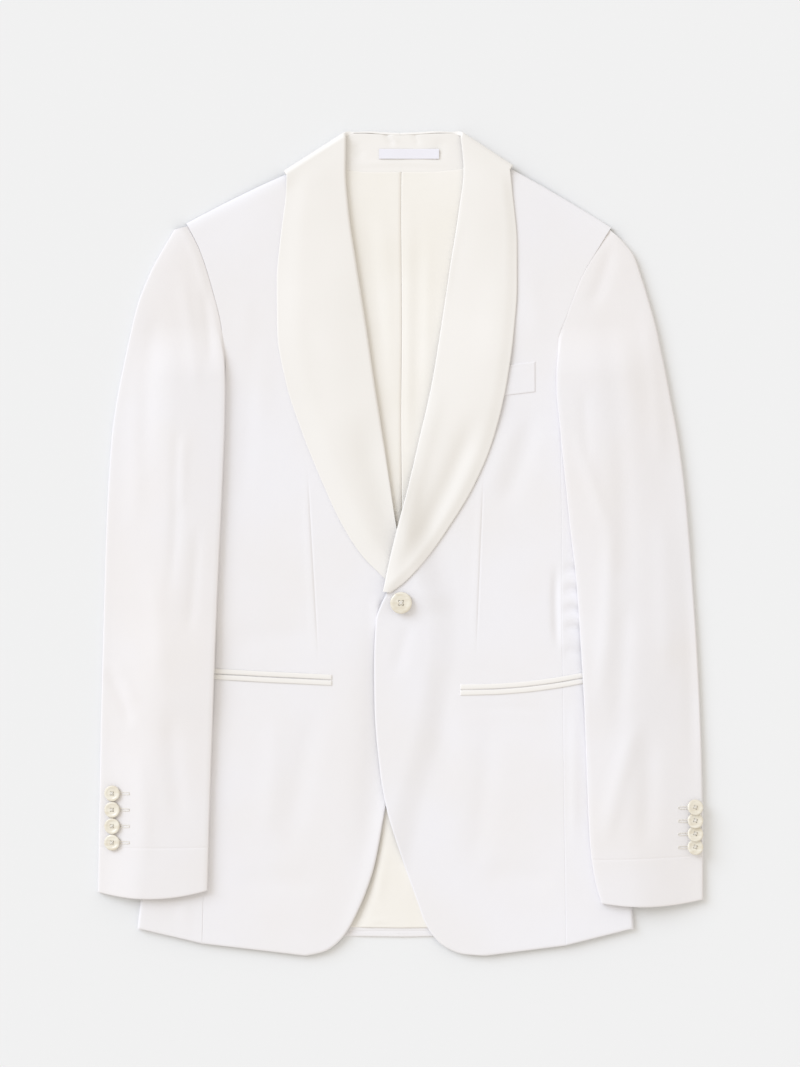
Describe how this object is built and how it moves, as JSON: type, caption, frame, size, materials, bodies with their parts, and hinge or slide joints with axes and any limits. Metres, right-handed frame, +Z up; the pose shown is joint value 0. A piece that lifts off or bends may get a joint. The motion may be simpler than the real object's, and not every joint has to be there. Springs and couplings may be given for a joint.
{
  "type": "tuxedo jacket",
  "caption": "Single-breasted white dinner jacket with a satin shawl collar and jetted pockets, laid flat on its back.",
  "frame": {"origin": "centre of the jacket's bounding box in x and y, on the surface it lies on", "axes": "+X across the jacket to the viewer's right, +Y from the hem to the neck, +Z up out of the front"},
  "size_m": [0.5694, 0.7755, 0.0163],
  "materials": {
    "wool": "matte fine white wool twill",
    "satin": "ivory satin with a soft sheen",
    "lining": "smooth ivory lining",
    "label": "bare white woven label",
    "button": "polished ivory horn-look button"
  },
  "bodies": {
    "root": {"back_left": "wool", "back_right": "wool", "front_left": "wool", "front_right": "wool", "side_panel_left": "wool", "side_panel_right": "wool", "top_sleeve_left": "wool", "top_sleeve_right": "wool", "under_sleeve_left": "wool", "under_sleeve_right": "wool", "breast_welt": "wool", "collar_left": "satin", "collar_right": "satin", "collar_stand": "satin", "pocket_jet_upper_left": "satin", "pocket_jet_lower_left": "satin", "pocket_jet_upper_right": "satin", "pocket_jet_lower_right": "satin", "back_lining_left": "lining", "back_lining_right": "lining", "neck_label": "label", "front_button": "button", "cuff_button_left_1": "button", "cuff_button_left_2": "button", "cuff_button_left_3": "button", "cuff_button_left_4": "button", "cuff_button_right_1": "button", "cuff_button_right_2": "button", "cuff_button_right_3": "button", "cuff_button_right_4": "button"}
  },
  "joints": []
}
